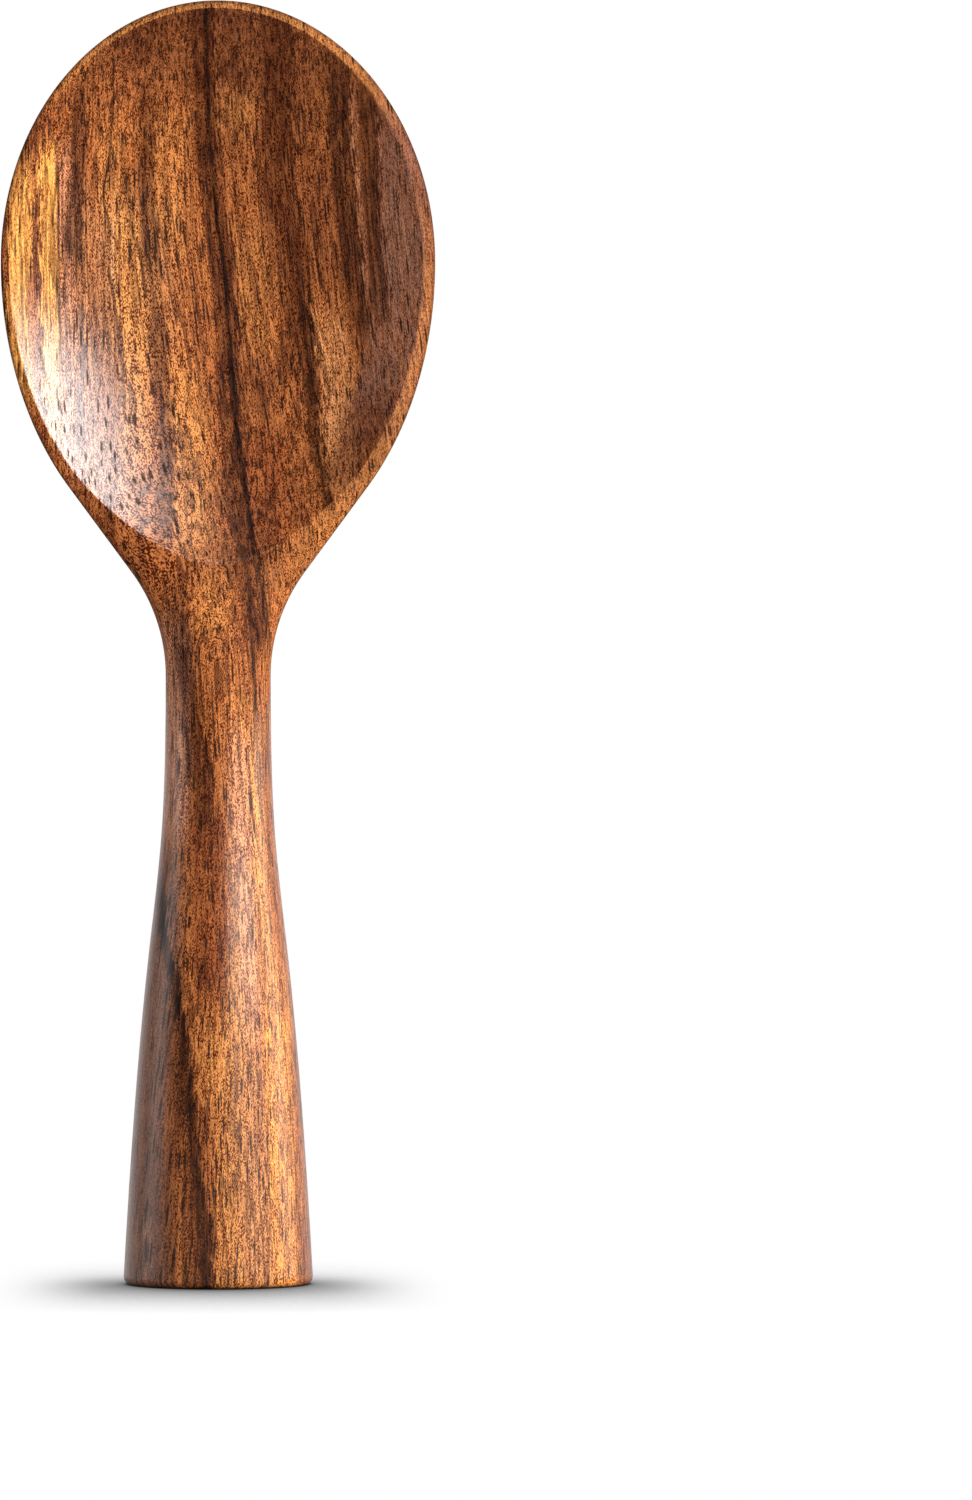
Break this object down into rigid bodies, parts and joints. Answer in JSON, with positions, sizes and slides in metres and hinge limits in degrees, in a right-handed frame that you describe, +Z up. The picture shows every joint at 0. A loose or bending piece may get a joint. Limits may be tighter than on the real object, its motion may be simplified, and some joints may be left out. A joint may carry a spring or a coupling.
{
  "type": "standing rice paddle",
  "caption": "Carved wooden rice paddle with a shallow oval bowl and a flared round handle whose flat foot lets it stand upright.",
  "frame": {"origin": "centre of the foot's flat face", "axes": "+Z up along the handle to the top of the head, +X across the head to the right seen from the bowl's side, -Y the way the bowl faces"},
  "size_m": [0.0726, 0.0318, 0.215],
  "materials": {
    "hardwood": "oiled satin hardwood with brown streaks and pale sapwood"
  },
  "bodies": {
    "root": {"paddle": "hardwood"}
  },
  "joints": []
}
